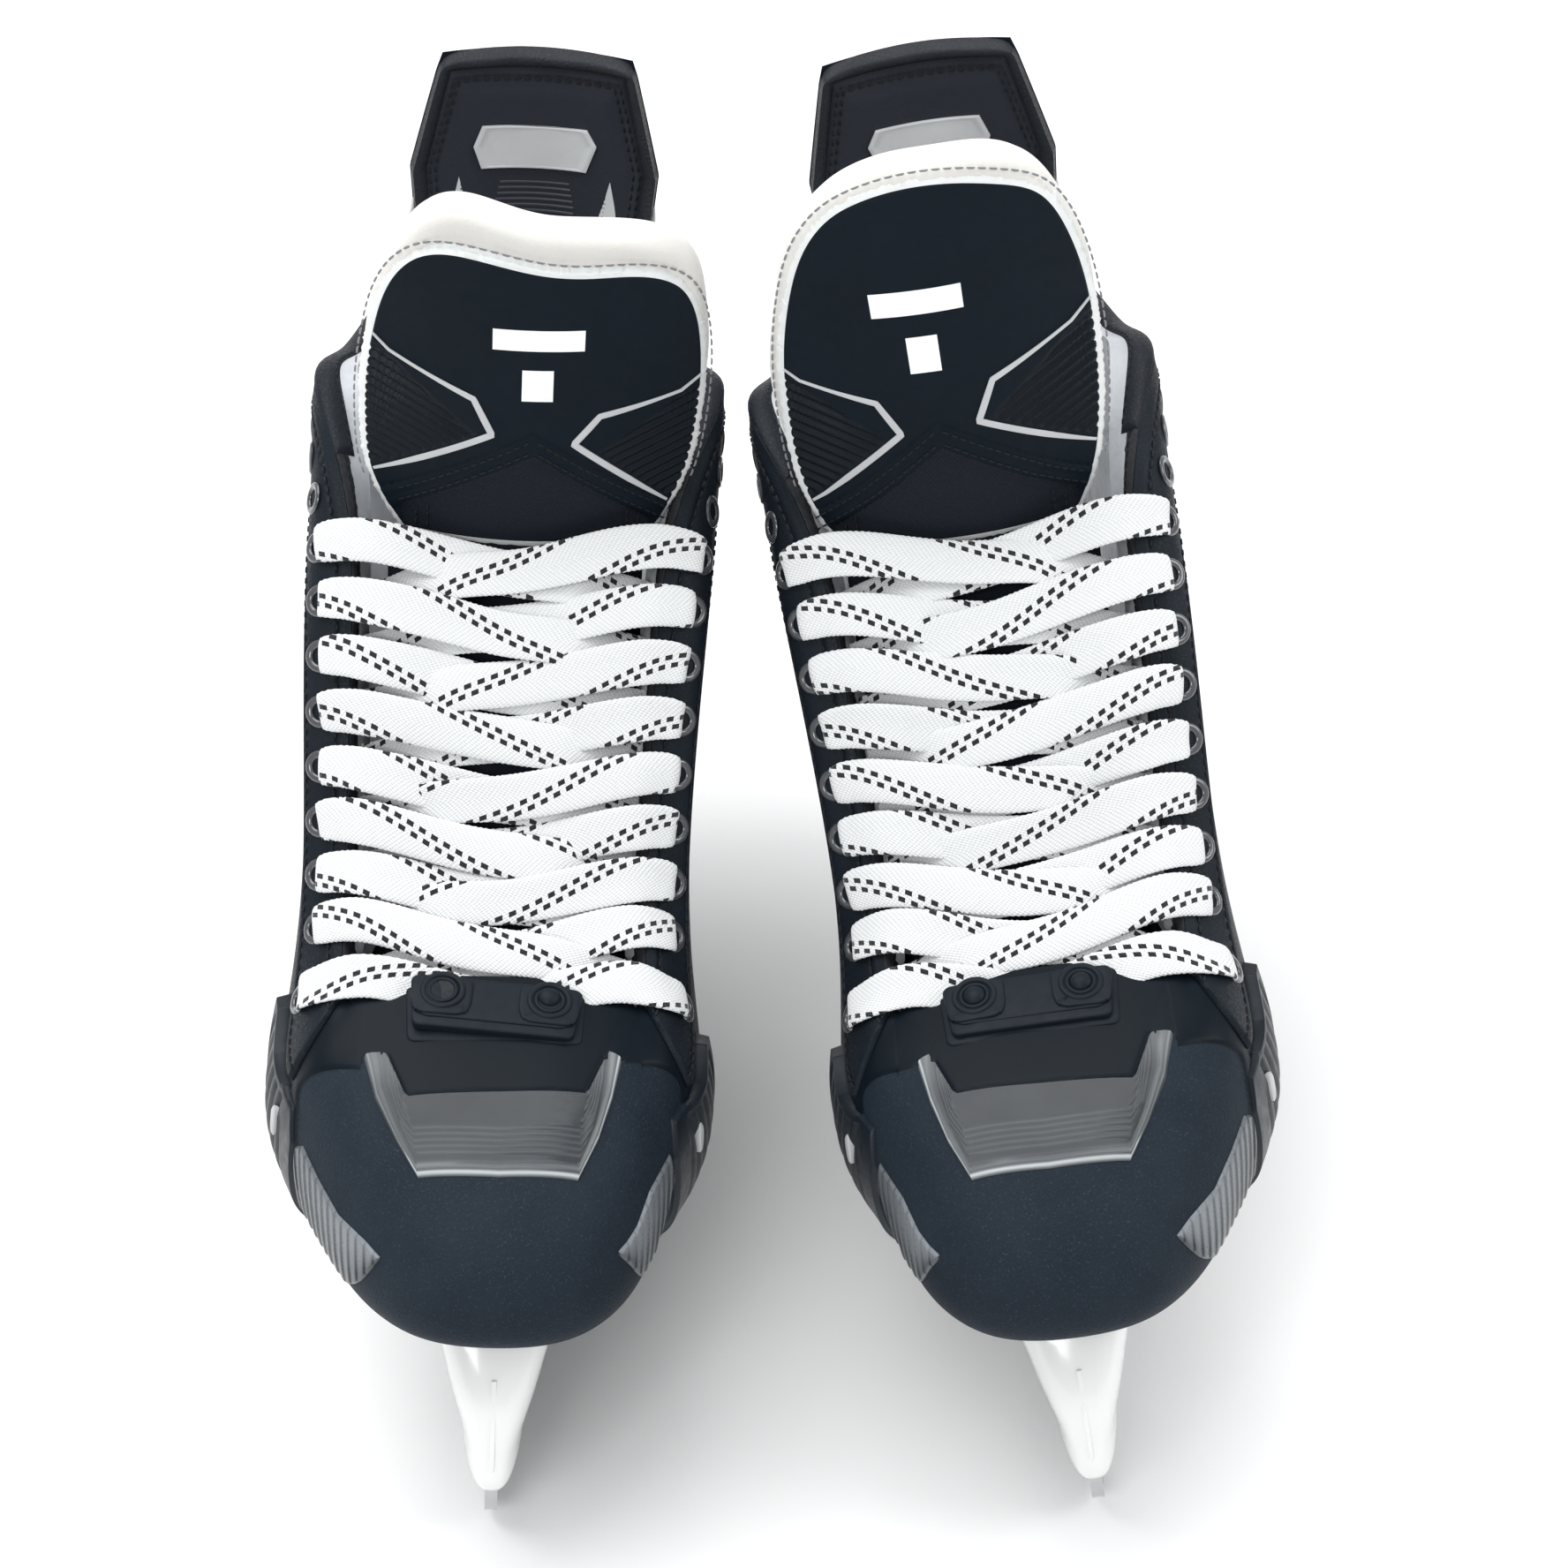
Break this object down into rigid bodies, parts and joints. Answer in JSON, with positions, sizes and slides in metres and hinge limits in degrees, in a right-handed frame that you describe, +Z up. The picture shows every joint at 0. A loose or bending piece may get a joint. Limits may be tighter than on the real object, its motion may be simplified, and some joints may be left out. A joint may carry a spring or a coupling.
{
  "type": "pair of ice hockey skates",
  "caption": "Laced ice hockey skates standing on their runners, with moulded toe caps, padded liners, white felt tongues and white blade holders.",
  "frame": {"origin": "on the ice, under the middle of the pair's bounding box", "axes": "+Z up, toes towards -Y, heels towards +Y; the wearer's right skate at -X and the left skate at +X"},
  "size_m": [0.2456, 0.297, 0.3018],
  "materials": {
    "right_toe_cap": "fine-grained charcoal",
    "right_boot_shell": "satin composite and synthetic leather",
    "right_liner": "grey padded cloth, soft sheen",
    "right_outsole": "satin black composite",
    "right_footbed": "dark foam and cloth",
    "right_toe_window_top": "smoky, glossy",
    "right_toe_window_medial": "smoky, glossy",
    "right_toe_window_lateral": "smoky, glossy",
    "right_eyestay_medial": "black, stitched",
    "right_eyestay_lateral": "black, stitched",
    "right_eyelets_medial": "dark grey lacquer",
    "right_eyelets_lateral": "dark grey lacquer",
    "right_lace": "white flat weave with dark tracer dashes",
    "right_tongue_base": "black knit",
    "right_tongue_felt": "off-white felt",
    "right_tongue_facing": "satin black moulding",
    "right_tongue_tab": "satin black",
    "right_snap_pegs": "satin black",
    "right_tendon_guard": "black, soft",
    "right_tendon_pad": "black cloth",
    "right_holder": "glossy white",
    "right_runner": "ground and polished steel",
    "right_lock_lever": "dark grey",
    "right_lock_pin": "plain steel",
    "right_rivet_1": "plated",
    "right_rivet_2": "plated",
    "right_rivet_3": "plated",
    "right_rivet_4": "plated",
    "right_rivet_5": "plated",
    "right_rivet_6": "plated",
    "left_toe_cap": "fine-grained charcoal",
    "left_boot_shell": "satin composite and synthetic leather",
    "left_liner": "grey padded cloth, soft sheen",
    "left_outsole": "satin black composite",
    "left_footbed": "dark foam and cloth",
    "left_toe_window_top": "smoky, glossy",
    "left_toe_window_medial": "smoky, glossy",
    "left_toe_window_lateral": "smoky, glossy",
    "left_eyestay_medial": "black, stitched",
    "left_eyestay_lateral": "black, stitched",
    "left_eyelets_medial": "dark grey lacquer",
    "left_eyelets_lateral": "dark grey lacquer",
    "left_lace": "white flat weave with dark tracer dashes",
    "left_tongue_base": "black knit",
    "left_tongue_felt": "off-white felt",
    "left_tongue_facing": "satin black moulding",
    "left_tongue_tab": "satin black",
    "left_snap_pegs": "satin black",
    "left_tendon_guard": "black, soft",
    "left_tendon_pad": "black cloth",
    "left_holder": "glossy white",
    "left_runner": "ground and polished steel",
    "left_lock_lever": "dark grey",
    "left_lock_pin": "plain steel",
    "left_rivet_1": "plated",
    "left_rivet_2": "plated",
    "left_rivet_3": "plated",
    "left_rivet_4": "plated",
    "left_rivet_5": "plated",
    "left_rivet_6": "plated"
  },
  "bodies": {
    "right_skate": {"right_toe_cap": "right_toe_cap", "right_boot_shell": "right_boot_shell", "right_liner": "right_liner", "right_outsole": "right_outsole", "right_footbed": "right_footbed", "right_toe_window_top": "right_toe_window_top", "right_toe_window_medial": "right_toe_window_medial", "right_toe_window_lateral": "right_toe_window_lateral", "right_eyestay_medial": "right_eyestay_medial", "right_eyestay_lateral": "right_eyestay_lateral", "right_eyelets_medial": "right_eyelets_medial", "right_eyelets_lateral": "right_eyelets_lateral", "right_lace": "right_lace", "right_tongue_base": "right_tongue_base", "right_tongue_tab": "right_tongue_tab", "right_snap_pegs": "right_snap_pegs", "right_holder": "right_holder", "right_lock_pin": "right_lock_pin", "right_rivet_1": "right_rivet_1", "right_rivet_2": "right_rivet_2", "right_rivet_3": "right_rivet_3", "right_rivet_4": "right_rivet_4", "right_rivet_5": "right_rivet_5", "right_rivet_6": "right_rivet_6"},
    "right_tongue": {"right_tongue_felt": "right_tongue_felt", "right_tongue_facing": "right_tongue_facing"},
    "right_guard": {"right_tendon_guard": "right_tendon_guard", "right_tendon_pad": "right_tendon_pad"},
    "right_lever": {"right_lock_lever": "right_lock_lever"},
    "right_blade": {"right_runner": "right_runner"},
    "left_skate": {"left_toe_cap": "left_toe_cap", "left_boot_shell": "left_boot_shell", "left_liner": "left_liner", "left_outsole": "left_outsole", "left_footbed": "left_footbed", "left_toe_window_top": "left_toe_window_top", "left_toe_window_medial": "left_toe_window_medial", "left_toe_window_lateral": "left_toe_window_lateral", "left_eyestay_medial": "left_eyestay_medial", "left_eyestay_lateral": "left_eyestay_lateral", "left_eyelets_medial": "left_eyelets_medial", "left_eyelets_lateral": "left_eyelets_lateral", "left_lace": "left_lace", "left_tongue_base": "left_tongue_base", "left_tongue_tab": "left_tongue_tab", "left_snap_pegs": "left_snap_pegs", "left_holder": "left_holder", "left_lock_pin": "left_lock_pin", "left_rivet_1": "left_rivet_1", "left_rivet_2": "left_rivet_2", "left_rivet_3": "left_rivet_3", "left_rivet_4": "left_rivet_4", "left_rivet_5": "left_rivet_5", "left_rivet_6": "left_rivet_6"},
    "left_tongue": {"left_tongue_felt": "left_tongue_felt", "left_tongue_facing": "left_tongue_facing"},
    "left_guard": {"left_tendon_guard": "left_tendon_guard", "left_tendon_pad": "left_tendon_pad"},
    "left_lever": {"left_lock_lever": "left_lock_lever"},
    "left_blade": {"left_runner": "left_runner"}
  },
  "joints": [
    {"name": "right_tongue_flop", "type": "hinge", "parent": "right_skate", "child": "right_tongue", "pos_m": [-0.05842, 0.00784, 0.2037], "axis": [0.9948, 0.0347, -0.0958], "range_deg": [-10, 65], "stiffness_Nm_per_rad": 0.4},
    {"name": "right_tendon_guard_flex", "type": "hinge", "parent": "right_skate", "child": "right_guard", "pos_m": [-0.06282, 0.14627, 0.20818], "axis": [-0.9948, -0.0347, 0.0958], "range_deg": [0, 22], "stiffness_Nm_per_rad": 1.2},
    {"name": "right_runner_release", "type": "hinge", "parent": "right_skate", "child": "right_blade", "pos_m": [-0.07127, -0.10068, 0.031], "axis": [-0.9948, -0.0347, 0.0958], "range_deg": [0, 5]},
    {"name": "right_lock_lever", "type": "hinge", "parent": "right_skate", "child": "right_lever", "pos_m": [-0.07654, 0.08325, 0.04295], "axis": [0.9948, 0.0347, -0.0958], "range_deg": [0, 60]},
    {"name": "left_tongue_flop", "type": "hinge", "parent": "left_skate", "child": "left_tongue", "pos_m": [0.05121, 0.00601, 0.20277], "axis": [0.9905, -0.0052, 0.1374], "range_deg": [-10, 65], "stiffness_Nm_per_rad": 0.4},
    {"name": "left_tendon_guard_flex", "type": "hinge", "parent": "left_skate", "child": "left_guard", "pos_m": [0.05132, 0.14451, 0.20722], "axis": [-0.9905, 0.0052, -0.1374], "range_deg": [0, 22], "stiffness_Nm_per_rad": 1.2},
    {"name": "left_runner_release", "type": "hinge", "parent": "left_skate", "child": "left_blade", "pos_m": [0.07449, -0.10212, 0.03091], "axis": [-0.9905, 0.0052, -0.1374], "range_deg": [0, 5]},
    {"name": "left_lock_lever", "type": "hinge", "parent": "left_skate", "child": "left_lever", "pos_m": [0.0738, 0.08189, 0.0428], "axis": [0.9905, -0.0052, 0.1374], "range_deg": [0, 60]},
    {"name": "left_skate_apart", "type": "slide", "parent": "right_skate", "child": "left_skate", "axis": [1, 0, 0], "range_m": [0, 0.3]}
  ],
  "couplings": [
    {"joint": "right_lock_lever", "follows": "right_runner_release", "ratio": 12},
    {"joint": "left_lock_lever", "follows": "left_runner_release", "ratio": 12}
  ]
}
